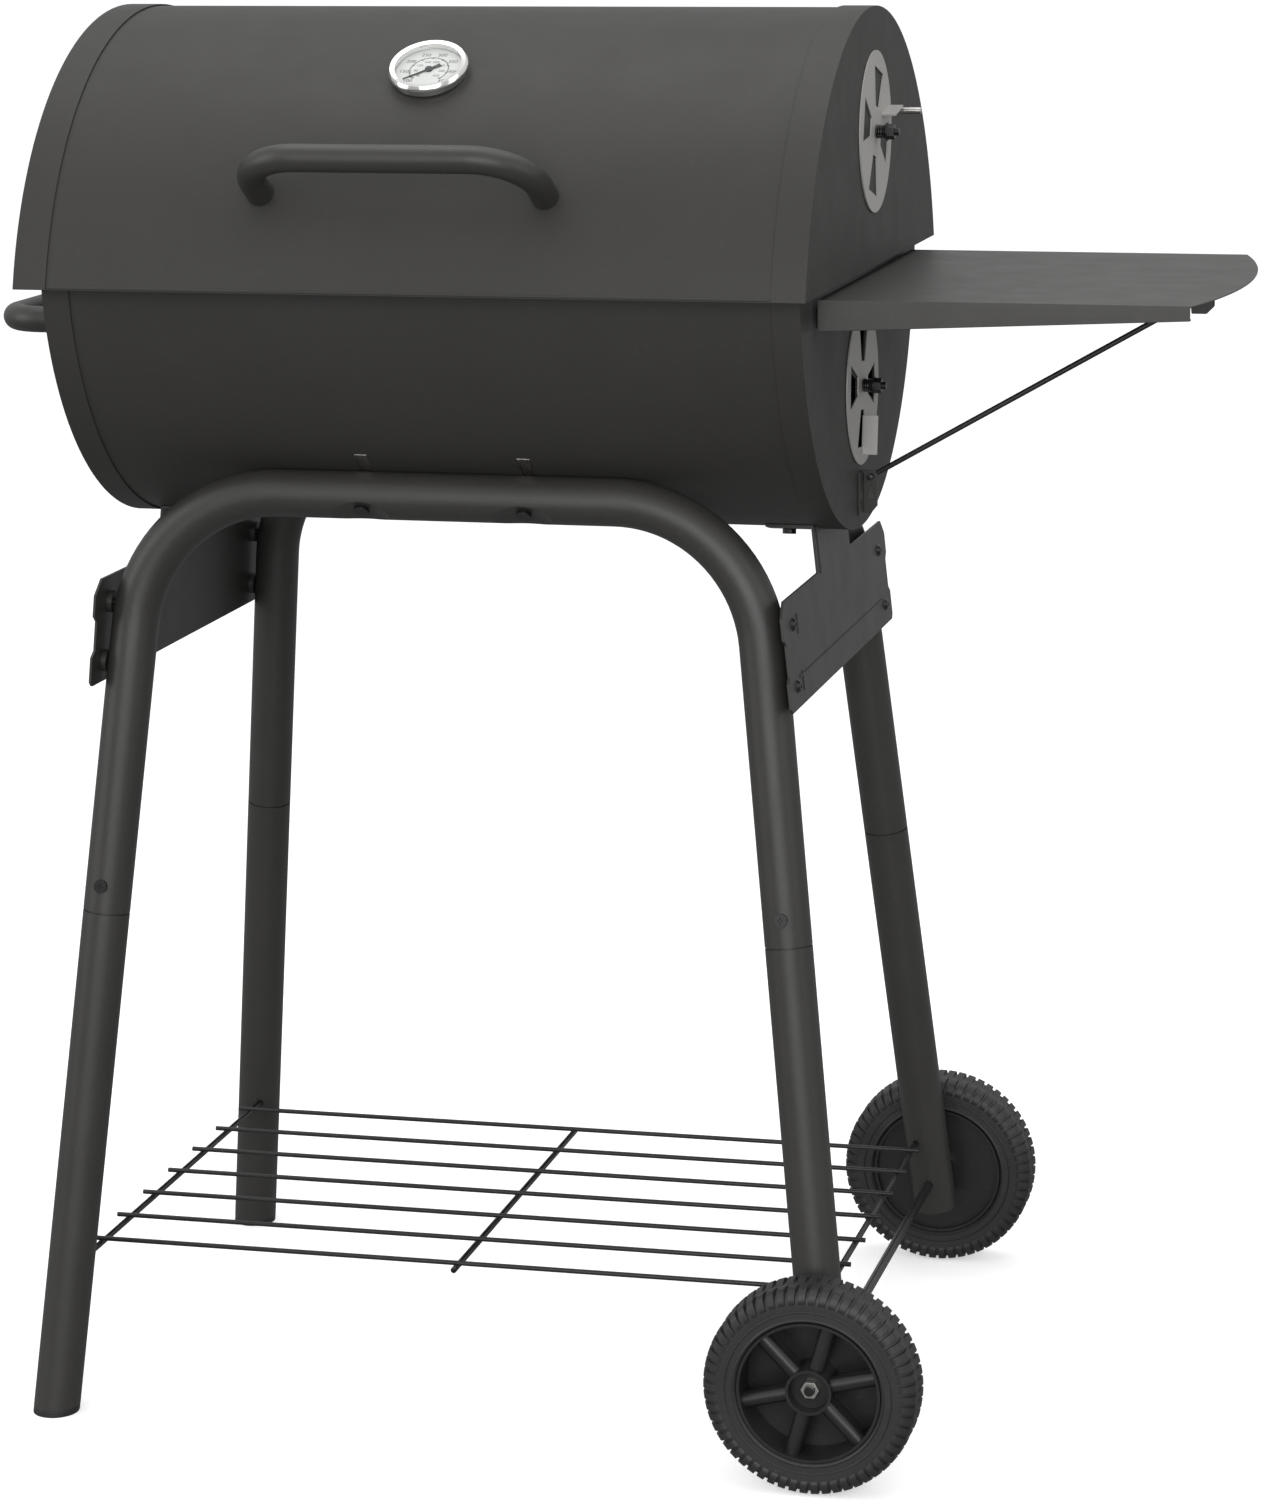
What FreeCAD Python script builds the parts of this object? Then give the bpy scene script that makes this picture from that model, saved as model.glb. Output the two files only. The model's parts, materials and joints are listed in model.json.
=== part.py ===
import FreeCAD, Part
import math
import os

# Barrel charcoal grill on a tubular stand with two wheels, a wire shelf and a fold-down side table.
# Millimetres, +Z up, front towards -Y, side table towards +X.
# The parts are drawn about the barrel: x = 0 in the middle of the barrel, y = 0 over its axis and
# z = 0 on the floor. save() then moves them along X, so that the origin is on the floor below the
# middle of the whole grill.

Vec = FreeCAD.Vector
AXIS_X = Vec(1, 0, 0)
AXIS_Y = Vec(0, 1, 0)
AXIS_Z = Vec(0, 0, 1)
SIDES = (-1, 1)
BIG = 2000.0

# ---------------------------------------------------------------- driving dimensions
SHEET = 1.2                    # firebox, lid and table sheet steel
FIT_GAP = 0.2                  # between nested sheets of one body
RUN_GAP = 0.3                  # least gap between parts that move past each other

BARREL_Z = 957.5               # height of the firebox cylinder's axis
BARREL_R = 236.6               # outside of the firebox end caps
BARREL_HALF = 304.4            # half length of the firebox over its end caps
BARREL_BAND = 22.2             # width of the end cap flange
LIP_Y = 250.0                  # outer edge of the firebox lip, hidden inside the lid

LID_Z = 866.0                  # height of the lid cylinder's axis
LID_R = 274.5                  # outside of the lid end caps
LID_HALF = 315.5
LID_BAND = 27.0
SEAM_Z = 932.6                 # lower edge of the closed lid

HINGE_Y = 271.0                # lid hinge pin
HINGE_Z = 927.5
HINGE_X = (-205.0, 205.0)
HINGE_PIN_R = 3.0
HINGE_KNUCKLE_R = 5.5

TUBE_R = 19.0                  # stand tube
TUBE_WALL = 1.5
RUN_Y = 162.5                  # horizontal run of the stand tube under the barrel
RUN_Z = 761.4
LEG_TOP_X = 249.1              # where the leg line meets the height of the run
SPREAD_X = 0.105               # outward lean of the legs per unit of height
SPREAD_Y = 0.109
FRAME_BEND = 122.0
LEG_JOINT_Z = 419.0            # upper frame tubes end and leg tubes begin
LEG_SEAM = 1.4                 # groove left between them
LEG_SOCKET = 45.0              # length of the leg tube inside the frame tube
LEG_SCREW_Z = 441.0
RIGHT_LEG_END_Z = 60.0
FOOT_H = 6.0

WHEEL_R = 86.0
WHEEL_W = 45.0
TYRE_BORE_R = 57.5
SPOKE_DEG = 14.0
AXLE_R = 4.0
RUNNING = 0.08                 # radial clearance of turning bores

SHELF_Z = 129.6
SHELF_PITCH = 60.8
SHELF_END_X = 309.0
SHELF_WIRE_R = 2.0
SHELF_BAR_R = 2.5

PLATE_T = 2.0                  # end plates that carry the barrel
PLATE_STANDOFF = 4.0
PLATE_LOW_Z = 603.0
PLATE_HIGH_Z = 690.0
PLATE_EAR_Y = 206.0
PLATE_EDGE_Y = 200.0
PLATE_TAB_Y = 64.0
PLATE_BOLT_Z = (620.0, 668.0)
BOLT_R = 3.0
NUT_BORE_R = BOLT_R + 0.02
MOUNT_X = 67.0                 # bolts that hold the barrel to the tube runs

TABLE_Z = 927.4                # top of the side table
TABLE_X0 = 309.0
TABLE_X1 = 595.0
TABLE_END_X = 620.0
TABLE_Y = 193.0
APRON_IN = 24.5                # apron depth at the barrel
APRON_OUT = 11.5                # apron depth at the far end
TABLE_PIVOT = (318.0, 910.0)
TABLE_PIVOT_Y = (-150.0, 150.0)
TABLE_PIN_R = 2.0

ROD_R = 2.25
ROD_PIVOT = (312.4, 762.0)
ROD_TOP = (575.0, 911.5)
ROD_Y = 5.0                    # the rod lies beside its bracket

DAMPER_R = 64.5
DAMPER_T = 1.2
DAMPER_BOLT_R = 3.0
NUT_BORE_R = BOLT_R + 0.02
SLOT_IN = 21.0
SLOT_OUT = 53.0
SLOT_HALF_DEG = 20.0
LID_DAMPER_Z = 1041.0
LID_DAMPER_DEG = -15.0
FIRE_DAMPER_Z = 836.5
LID_TAB_DEG = 10.0             # place of each thumb tab round its disc
FIRE_DAMPER_DEG = -5.0
FIRE_TAB_DEG = -100.0
DAMPER_PIN_L = 26.0

THERMO_X = -8.0
THERMO_DEG = 56.5              # place of the thermometer round the lid, from the horizontal
THERMO_R = 32.0
THERMO_H = 10.0
DIAL_R = 27.0
NEEDLE_DEG = 215.0

HANDLE_R = 10.75               # handle tube
HANDLE_WALL = 1.5
LID_HANDLE_DEG = 31.0
LID_HANDLE_X = -7.0
LID_HANDLE_HALF = 114.0
LID_HANDLE_OUT = 62.0
LID_HANDLE_BEND = 46.0
SIDE_HANDLE_Z = 891.0
SIDE_HANDLE_HALF = 112.0
SIDE_HANDLE_OUT = 84.0
SIDE_HANDLE_BEND = 32.0

GRATE_Z = 931.0                # cooking grates: height of the bars' axis
GRATE_Y = 227.0
GRATE_CROSS_Y = 221.0
GRATE_LENGTH = 284.0
GRATE_BAR_R = 2.5
GRATE_BARS = 17
COAL_Z = 812.0
COAL_Y = 169.0
COAL_CROSS_Y = 166.0
COAL_X = 278.0
COAL_BARS = 29

# ---------------------------------------------------------------- values that follow
SKIN_R = BARREL_R - SHEET - FIT_GAP
LID_SKIN_R = LID_R - SHEET - FIT_GAP
AXLE_Z = WHEEL_R
SHELF_BAR_Z = SHELF_Z - SHELF_WIRE_R - SHELF_BAR_R + 0.5
LID_FACE = LID_HALF
FIRE_FACE = BARREL_HALF
SIDE_HANDLE_X = -BARREL_HALF - SIDE_HANDLE_OUT
LEFT_END = SIDE_HANDLE_X - HANDLE_R
ORIGIN_X = (LEFT_END + TABLE_END_X) / 2.0


# ---------------------------------------------------------------- helpers
def save(name, *solids):
    """Writes one node, moved to the row's origin."""
    shape = solids[0] if len(solids) == 1 else Part.makeCompound(list(solids))
    moved = shape.copy()
    moved.translate(Vec(-ORIGIN_X, 0, 0))
    moved.exportStep("parts/" + name + ".step")


def box(low, high):
    size = Vec(*high) - Vec(*low)
    return Part.makeBox(size.x, size.y, size.z, Vec(*low))


def rod(start, end, radius):
    """A round bar from one point to another."""
    way = Vec(*end) - Vec(*start)
    return Part.makeCylinder(radius, way.Length, Vec(*start), way)


def pipe(start, end, outer, inner):
    way = Vec(*end) - Vec(*start)
    over = way.normalize() * 1.0
    bore = rod(Vec(*start) - over, Vec(*end) + over, inner)
    return rod(start, end, outer).cut(bore)


def ring(centre, axis, outer, inner, height):
    """A washer or short collar; axis is a unit vector."""
    body = Part.makeCylinder(outer, height, centre, axis)
    return body.cut(Part.makeCylinder(inner, height, centre, axis))


def hexagon(centre, axis, across, height, bore=0.0):
    """A hexagonal head or nut."""
    radius = across / math.sqrt(3.0)
    corners = []
    for i in range(7):
        a = math.radians(60.0 * i)
        corners.append(Vec(radius * math.cos(a), radius * math.sin(a), 0))
    prism = Part.Face(Part.makePolygon(corners)).extrude(Vec(0, 0, height))
    if bore:
        prism = prism.cut(Part.makeCylinder(bore, height))
    prism.Placement = FreeCAD.Placement(centre, FreeCAD.Rotation(AXIS_Z, axis))
    return prism


def drum(radius, centre_z, x0, x1):
    """A solid cylinder along X."""
    return Part.makeCylinder(radius, x1 - x0, Vec(x0, 0, centre_z), AXIS_X)


def above(z):
    return box((-BIG, -BIG, z), (BIG, BIG, z + BIG))


def below(z):
    return box((-BIG, -BIG, z - BIG), (BIG, BIG, z))


def fuse(shapes):
    """One solid from pieces that are welded or formed together."""
    return shapes[0].multiFuse(list(shapes[1:])).removeSplitter()


def rounded_wire(points, bend):
    """Straight runs through the points, joined by tangent arcs of radius bend."""
    pts = [Vec(*p) for p in points]
    edges = []
    last = pts[0]
    for before, corner, after in zip(pts, pts[1:], pts[2:]):
        back = (before - corner).normalize()
        ahead = (after - corner).normalize()
        half = back.getAngle(ahead) / 2.0
        reach = bend / math.tan(half)
        start = corner + back * reach
        end = corner + ahead * reach
        towards = (back + ahead).normalize()
        middle = corner + towards * (bend / math.sin(half) - bend)
        edges.append(Part.LineSegment(last, start).toShape())
        edges.append(Part.Arc(start, middle, end).toShape())
        last = end
    edges.append(Part.LineSegment(last, pts[-1]).toShape())
    return Part.Wire(edges)


def bent_bar(points, bend, radius):
    """A solid round bar that follows a rounded path."""
    path = rounded_wire(points, bend)
    way = (Vec(*points[1]) - Vec(*points[0])).normalize()
    circle = Part.Wire(Part.Circle(Vec(*points[0]), way, radius).toShape())
    return path.makePipeShell([circle], True, False)


def bent_tube(points, bend, radius, wall):
    outer = bent_bar(points, bend, radius)
    inner = bent_bar(points, bend, radius - wall)
    return outer.cut(inner)


# ---------------------------------------------------------------- stand
def leg_point(side_x, side_y, z):
    """Point of a leg's axis at height z."""
    drop = RUN_Z - z
    return Vec(side_x * (LEG_TOP_X + SPREAD_X * drop), side_y * (RUN_Y + SPREAD_Y * drop), z)


def leg_way(side_x, side_y):
    return (leg_point(side_x, side_y, 0) - leg_point(side_x, side_y, RUN_Z)).normalize()


def mount_way(side_y):
    """Unit vector from the barrel's axis out through a tube run."""
    return Vec(0, side_y * RUN_Y, RUN_Z - BARREL_Z).normalize()


def mount_at(side_x, side_y, radius):
    """Point on a barrel bolt's axis at a distance from the barrel's axis."""
    return Vec(side_x * MOUNT_X, 0, BARREL_Z) + mount_way(side_y) * radius


def mount_bolt_hole(side_x, side_y):
    start = mount_at(side_x, side_y, SKIN_R - 20)
    return Part.makeCylinder(BOLT_R + 0.3, 90, start, mount_way(side_y))


DIMPLE_R = 46.0                # scoops that seat the barrel bolts' heads
DIMPLE_DEPTH = 7.0
WASHER_REACH = 14.0            # saddle washer, inward and outward of the bolt
WASHER_SHOWN = 8.0
RUN_R = math.hypot(RUN_Y, BARREL_Z - RUN_Z)


def frame_tube(side_y):
    """Arched tube: down to the left leg joint, across under the barrel and down again."""
    points = [leg_point(-1, side_y, LEG_JOINT_Z), Vec(-LEG_TOP_X, side_y * RUN_Y, RUN_Z),
              Vec(LEG_TOP_X, side_y * RUN_Y, RUN_Z), leg_point(1, side_y, LEG_JOINT_Z)]
    solid = bent_bar(points, FRAME_BEND, TUBE_R)
    tube = solid.cut(bent_bar(points, FRAME_BEND, TUBE_R - TUBE_WALL))
    for side_x in SIDES:
        low = mount_at(side_x, side_y, RUN_R + TUBE_R - DIMPLE_DEPTH + DIMPLE_R)
        scoop = Part.makeSphere(DIMPLE_R, low)
        floor = Part.makeSphere(DIMPLE_R + TUBE_WALL, low).cut(scoop)
        inside = rod((side_x * MOUNT_X - 40, side_y * RUN_Y, RUN_Z),
                     (side_x * MOUNT_X + 40, side_y * RUN_Y, RUN_Z), TUBE_R - TUBE_WALL / 2)
        tube = tube.cut(scoop).fuse(floor.common(inside))
        tube = tube.cut(mount_bolt_hole(side_x, side_y))
        tube = tube.cut(leg_screw_hole(side_x, side_y))
        for hole in plate_bolt_holes(side_x, side_y):
            tube = tube.cut(hole)
    return tube


def leg_out(side_x, side_y):
    """Unit vector square to a leg that points to the front or the rear."""
    way = leg_way(side_x, side_y)
    out = AXIS_Y * side_y
    return (out - way * out.dot(way)).normalize()


def leg_screw_hole(side_x, side_y):
    at = leg_point(side_x, side_y, LEG_SCREW_Z)
    return Part.makeCylinder(2.7, 2 * TUBE_R, at, leg_out(side_x, side_y))


def leg_screw(side_x, side_y):
    """Pan head cross recess screw that locks a leg into its frame tube."""
    at = leg_point(side_x, side_y, LEG_SCREW_Z)
    out = leg_out(side_x, side_y)
    shank = Part.makeCylinder(2.5, 11, at + out * (TUBE_R - 10), out)
    head = Part.makeCylinder(5.5, 2.4, at + out * (TUBE_R + 0.1), out)
    screw = shank.fuse(head)
    top = at + out * (TUBE_R + 1.2)
    for turn in (0, 90):
        arm = box((-2.6, -0.5, 0), (2.6, 0.5, 3.0))
        arm.rotate(Vec(0, 0, 0), AXIS_Z, turn)
        place = FreeCAD.Placement(top, FreeCAD.Rotation(AXIS_X, Vec(0, 0, 0), out, "ZXY"))
        arm.Placement = place.multiply(arm.Placement)
        screw = screw.cut(arm)
    return screw


def shelf_hole(side_x, side_y):
    x = side_x * SHELF_END_X
    return rod((x, side_y * 205.0, SHELF_BAR_Z), (x, side_y * 232.0, SHELF_BAR_Z), SHELF_BAR_R + 0.3)


def leg(side_x, side_y):
    """Lower leg tube, drawn down at its top to plug into the frame tube."""
    low_z = RIGHT_LEG_END_Z if side_x > 0 else 0.0
    way = leg_way(side_x, side_y)
    joint = leg_point(side_x, side_y, LEG_JOINT_Z)
    end = leg_point(side_x, side_y, low_z) + way * (0 if side_x > 0 else 10)
    neck_r = TUBE_R - TUBE_WALL - FIT_GAP
    shoulder = joint + way * LEG_SEAM
    outer = rod(shoulder, end, TUBE_R).fuse(rod(joint - way * LEG_SOCKET, shoulder, neck_r))
    bore = rod(joint - way * (LEG_SOCKET + 1), end + way, neck_r - TUBE_WALL)
    tube = outer.cut(bore)
    if side_x < 0:
        tube = tube.cut(below(FOOT_H))
    else:
        tube = tube.cut(axle_hole(AXLE_R + 0.15))
    tube = tube.cut(shelf_hole(side_x, side_y))
    return tube.cut(leg_screw_hole(side_x, side_y))


def foot_plug(side_y):
    """Plastic foot pressed into a left leg, flush with the floor."""
    way = leg_way(-1, side_y)
    floor_point = leg_point(-1, side_y, 0)
    pad = rod(floor_point - way * 10, floor_point + way * 10, TUBE_R - 0.1).common(
        box((-BIG, -BIG, 0), (BIG, BIG, FOOT_H)))
    stem_r = TUBE_R - 2 * TUBE_WALL - 2 * FIT_GAP
    stem = rod(floor_point - way * 26, floor_point + way * 5, stem_r).cut(below(FOOT_H))
    return pad.fuse(stem)


AXLE_X = leg_point(1, 1, AXLE_Z).x
LEG_Y_AT_AXLE = leg_point(1, 1, AXLE_Z).y
LEG_OUTSIDE_Y = LEG_Y_AT_AXLE + TUBE_R * math.sqrt(1 + SPREAD_Y ** 2)
WHEEL_IN_Y = LEG_OUTSIDE_Y + 2.0
WHEEL_OUT_Y = WHEEL_IN_Y + WHEEL_W
HUB_CUP = 14.0
HUB_END_Y = WHEEL_OUT_Y - HUB_CUP
NUT_T = 5.0
AXLE_END_Y = HUB_END_Y + RUN_GAP + NUT_T + 3.0


def axle_hole(radius):
    return rod((AXLE_X, -400, AXLE_Z), (AXLE_X, 400, AXLE_Z), radius)


def axle():
    return rod((AXLE_X, -AXLE_END_Y, AXLE_Z), (AXLE_X, AXLE_END_Y, AXLE_Z), AXLE_R)


def axle_nut(side_y):
    at = Vec(AXLE_X, side_y * (HUB_END_Y + RUN_GAP), AXLE_Z)
    return hexagon(at, AXIS_Y * side_y, 13.0, NUT_T, AXLE_R + 0.02)


def wire_shelf():
    """Seven long wires welded onto three cross bars whose ends enter the legs."""
    bars = []
    overhang = 9.0
    for i in range(-3, 4):
        y = i * SHELF_PITCH
        bars.append(rod((-SHELF_END_X - overhang, y, SHELF_Z), (SHELF_END_X + overhang, y, SHELF_Z),
                        SHELF_WIRE_R))
    for x, reach in ((-SHELF_END_X, 224.0), (0.0, 3 * SHELF_PITCH + 7.0), (SHELF_END_X, 224.0)):
        bars.append(rod((x, -reach, SHELF_BAR_Z), (x, reach, SHELF_BAR_Z), SHELF_BAR_R))
    return fuse(bars)


# ---------------------------------------------------------------- end plates
def plate_frame(side_x):
    """Placement that lays a drawing on the outside of one pair of legs.

    Drawing x runs away from the barrel, y and z stay as they are measured up the lean.
    """
    lean = math.degrees(math.atan(SPREAD_X)) * side_x
    return FreeCAD.Placement(leg_mid(side_x, RUN_Z), FreeCAD.Rotation(AXIS_Y, -lean))


def leg_mid(side_x, z):
    return Vec(leg_point(side_x, 1, z).x, 0, z)


LEAN_LENGTH = math.sqrt(1 + SPREAD_X ** 2)


def up_lean(z):
    """Distance along the leaning plate, from the height of the run."""
    return (z - RUN_Z) * LEAN_LENGTH


def plate_bolt_y(z):
    return leg_point(1, 1, z).y


def plate_bolt_holes(side_x, side_y):
    holes = []
    for z in PLATE_BOLT_Z:
        hole = rod((0, 0, 0), (side_x * 40, 0, 0), BOLT_R + 0.2)
        hole.translate(Vec(0, side_y * plate_bolt_y(z), up_lean(z)))
        hole.Placement = plate_frame(side_x).multiply(hole.Placement)
        holes.append(hole)
    return holes


RIB_H = 0.9


def plate_ribs(low, high):
    """Pressed ribs of an end plate as (y0, y1, low edge, high edge)."""
    edge = PLATE_EDGE_Y
    ribs = [(-edge + 32, edge - 32, low + 22, low + 23.6)]
    ribs.append((-PLATE_TAB_Y + 8, -PLATE_TAB_Y + 10, high - 2, -20.0))
    for w in (low + 10, high - 32):
        ribs.append((-edge + 42, -edge + 43.6, w, w + 16))
    return ribs


def end_plate(side_x):
    """Bracket across the two legs with a tab and curved flange under the barrel."""
    inner = TUBE_R + PLATE_STANDOFF
    step = 12.0
    outline = []
    low = up_lean(PLATE_LOW_Z)
    high = up_lean(PLATE_HIGH_Z)
    ear_a = up_lean(PLATE_BOLT_Z[0] + step)
    ear_b = up_lean(PLATE_BOLT_Z[1] - step)
    right = [(PLATE_EAR_Y - 4, low), (PLATE_EAR_Y, low + 4), (PLATE_EAR_Y, ear_a - 5),
             (PLATE_EDGE_Y, ear_a), (PLATE_EDGE_Y, ear_b), (PLATE_EAR_Y, ear_b + 5),
             (PLATE_EAR_Y, high - 12), (PLATE_EAR_Y - 12, high), (PLATE_TAB_Y, high),
             (PLATE_TAB_Y, 0.0)]
    outline = right + [(-y, w) for y, w in reversed(right)]
    corners = [Vec(side_x * inner, y, w) for y, w in outline]
    face = Part.Face(Part.makePolygon(corners + [corners[0]]))
    plate = face.extrude(Vec(side_x * PLATE_T, 0, 0))
    for side_y in SIDES:
        for z in PLATE_BOLT_Z:
            at = Vec(side_x * (TUBE_R + 0.1), side_y * plate_bolt_y(z), up_lean(z))
            boss = Part.makeCylinder(9.0, PLATE_STANDOFF - 0.1, at, AXIS_X * side_x)
            plate = plate.fuse(boss)
    for y0, y1, w0, w1 in plate_ribs(low, high):
        x0 = min(side_x * (inner + PLATE_T - 0.2), side_x * (inner + PLATE_T + RIB_H))
        x1 = max(side_x * (inner + PLATE_T - 0.2), side_x * (inner + PLATE_T + RIB_H))
        plate = plate.fuse(box((x0, y0, w0), (x1, y1, w1)))
    plate.Placement = plate_frame(side_x)
    seat = drum(SKIN_R + 0.2, BARREL_Z, -BIG / 2, BIG / 2)
    plate = plate.cut(seat)
    flange_out = side_x * 276.0
    flange_in = side_x * 238.0
    strap = drum(SKIN_R + 0.2 + PLATE_T, BARREL_Z, min(flange_in, flange_out), max(flange_in, flange_out))
    strap = strap.cut(seat).common(box((-BIG, -PLATE_TAB_Y, 0), (BIG, PLATE_TAB_Y, BARREL_Z - 100)))
    plate = plate.fuse(strap)
    for side_y in SIDES:
        for hole in plate_bolt_holes(side_x, side_y):
            plate = plate.cut(hole)
        plate = plate.cut(strap_bolt_hole(side_x, side_y))
    return plate.removeSplitter()


STRAP_BOLT_DEG = 9.0
STRAP_BOLT_X = 252.0


def strap_bolt_way(side_y):
    """Unit vector out of the barrel at a strap bolt."""
    a = math.radians(STRAP_BOLT_DEG)
    return Vec(0, side_y * math.sin(a), -math.cos(a))


def strap_bolt_hole(side_x, side_y):
    at = Vec(side_x * STRAP_BOLT_X, 0, BARREL_Z) + strap_bolt_way(side_y) * (SKIN_R - 10)
    return Part.makeCylinder(BOLT_R + 0.2, 25, at, strap_bolt_way(side_y))


def strap_bolt(side_x, side_y):
    """Hex bolt through the strap with its nut inside the firebox."""
    way = strap_bolt_way(side_y)
    axis_point = Vec(side_x * STRAP_BOLT_X, 0, BARREL_Z)
    head_at = axis_point + way * (SKIN_R + 0.2 + PLATE_T)
    shank = Part.makeCylinder(BOLT_R, 12.0, head_at - way * 12.0, way)
    head = hexagon(head_at, way, 10.0, 4.0)
    nut = hexagon(axis_point + way * (SKIN_R - SHEET - 5.2), way, 10.0, 5.0, NUT_BORE_R)
    return shank.fuse(head), nut


def plate_bolts(side_x):
    """Four button head screws that hold an end plate to threaded inserts in the legs."""
    pieces = []
    out = AXIS_X * side_x
    face = TUBE_R + PLATE_STANDOFF + PLATE_T
    for side_y in SIDES:
        for z in PLATE_BOLT_Z:
            at = Vec(side_x * face, side_y * plate_bolt_y(z), up_lean(z))
            shank = Part.makeCylinder(BOLT_R, 16.0, at - out * 16.0, out)
            head = Part.makeCone(5.6, 3.6, 2.8, at, out)
            socket = hexagon(at + out * 1.2, out, 4.0, 3.0)
            piece = shank.fuse(head).cut(socket)
            piece.Placement = plate_frame(side_x).multiply(piece.Placement)
            pieces.append(piece)
    return pieces


def mount_bolt(side_x, side_y):
    """Bolt from the scoop through the tube run into the firebox, and its nut inside."""
    way = mount_way(side_y)
    seat = RUN_R + TUBE_R - DIMPLE_DEPTH + 0.6
    inner = SKIN_R - SHEET
    shank = Part.makeCylinder(BOLT_R, seat - inner + 8.0, mount_at(side_x, side_y, inner - 8.0), way)
    head = Part.makeCylinder(6.0, 3.0, mount_at(side_x, side_y, seat), way)
    nut = hexagon(mount_at(side_x, side_y, inner - 5.2), way, 10.0, 5.0, NUT_BORE_R)
    return shank.fuse(head), nut


def saddle_washer(side_x, side_y):
    """Curved shim between the barrel and a tube run; its upper end shows above the tube."""
    half = 5.0
    t = 0.35
    outer = SKIN_R + 0.1 + t
    band = drum(outer, BARREL_Z, side_x * MOUNT_X - half, side_x * MOUNT_X + half)
    band = band.cut(drum(SKIN_R + 0.1, BARREL_Z, -BIG / 2, BIG / 2))
    lower = side_y * (RUN_Y - WASHER_REACH)
    upper = side_y * (RUN_Y + WASHER_SHOWN)
    strip = band.common(box((-BIG, min(lower, upper), 0), (BIG, max(lower, upper), BARREL_Z)))
    return strip.cut(mount_bolt_hole(side_x, side_y))


# ---------------------------------------------------------------- firebox
def wedge_slots(x0, x1, z, turn):
    """Four wedge openings round an axis along X at height z."""
    slots = []
    for i in range(4):
        a = math.radians(90.0 * i + turn)
        half = math.radians(SLOT_HALF_DEG)
        corners = []
        for radius, sign in ((SLOT_IN, -1), (SLOT_OUT, -1), (SLOT_OUT, 1), (SLOT_IN, 1)):
            b = a + sign * half
            corners.append(Vec(x0, radius * math.cos(b), z + radius * math.sin(b)))
        wedge = Part.Face(Part.makePolygon(corners + [corners[0]])).extrude(Vec(x1 - x0, 0, 0))
        slots.append(wedge)
    return slots


def firebox_shell():
    """Half cylinder skin with an outward lip along its front and rear edges."""
    end = BARREL_HALF - SHEET
    lip_end = BARREL_HALF - BARREL_BAND - RUN_GAP
    skin = drum(SKIN_R, BARREL_Z, -end, end).cut(drum(SKIN_R - SHEET, BARREL_Z, -end, end))
    skin = skin.cut(above(BARREL_Z))
    for side_y in SIDES:
        y0 = min(side_y * (SKIN_R - SHEET), side_y * LIP_Y)
        y1 = max(side_y * (SKIN_R - SHEET), side_y * LIP_Y)
        skin = skin.fuse(box((-lip_end, y0, BARREL_Z - SHEET), (lip_end, y1, BARREL_Z)))
        for side_x in SIDES:
            skin = skin.cut(mount_bolt_hole(side_x, side_y))
            skin = skin.cut(strap_bolt_hole(side_x, side_y))
    return skin.removeSplitter()


def firebox_cap(side_x):
    """End of the firebox: a half disc with a flange that wraps the skin."""
    out = side_x * BARREL_HALF
    face_in = side_x * (BARREL_HALF - SHEET)
    band_in = side_x * (BARREL_HALF - BARREL_BAND)
    disc = drum(BARREL_R, BARREL_Z, min(band_in, out), max(band_in, out))
    hollow = drum(BARREL_R - SHEET, BARREL_Z, min(band_in, face_in), max(band_in, face_in))
    cap = disc.cut(hollow).cut(above(BARREL_Z))
    if side_x > 0:
        for slot in wedge_slots(FIRE_FACE - 5, FIRE_FACE + 5, FIRE_DAMPER_Z, 0.0):
            cap = cap.cut(slot)
        cap = cap.cut(rod((FIRE_FACE - 5, 0, FIRE_DAMPER_Z), (FIRE_FACE + 5, 0, FIRE_DAMPER_Z),
                          DAMPER_BOLT_R + 0.05))
    else:
        for side_y in SIDES:
            cap = cap.cut(side_handle_hole(side_y))
    return cap


def grate_rail(side_y, z):
    """Angle along the inside of the firebox that a grate rests on."""
    inner = SKIN_R - SHEET
    half = math.sqrt(inner ** 2 - (BARREL_Z - z) ** 2)
    block = box((-270, min(side_y * (half - 16), side_y * (half + 20)), z - 14),
                (270, max(side_y * (half - 16), side_y * (half + 20)), z))
    shelf = block.common(box((-BIG, -BIG, z - 1.5), (BIG, BIG, z)))
    web_y = half - 5.0
    web = block.common(box((-BIG, min(side_y * web_y, side_y * BIG), z - 14),
                           (BIG, max(side_y * web_y, side_y * BIG), z)))
    rail = shelf.fuse(web)
    return rail.common(drum(inner - 0.1, BARREL_Z, -300, 300)).removeSplitter()


def cooking_grate(side_x):
    """Welded bar grate for half of the firebox."""
    bars = []
    x0 = side_x * 3.0
    x1 = side_x * (3.0 + GRATE_LENGTH)
    for i in range(GRATE_BARS):
        x = x0 + side_x * 3.0 + (x1 - x0) * i / (GRATE_BARS - 1)
        bars.append(rod((x, -GRATE_Y, GRATE_Z), (x, GRATE_Y, GRATE_Z), GRATE_BAR_R))
    cross_z = GRATE_Z - GRATE_BAR_R
    for y in (-GRATE_CROSS_Y, -GRATE_CROSS_Y / 3, GRATE_CROSS_Y / 3, GRATE_CROSS_Y):
        bars.append(rod((x0 - side_x * 1.0, y, cross_z), (x1 + side_x * 5.0, y, cross_z), GRATE_BAR_R))
    return fuse(bars)


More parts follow.
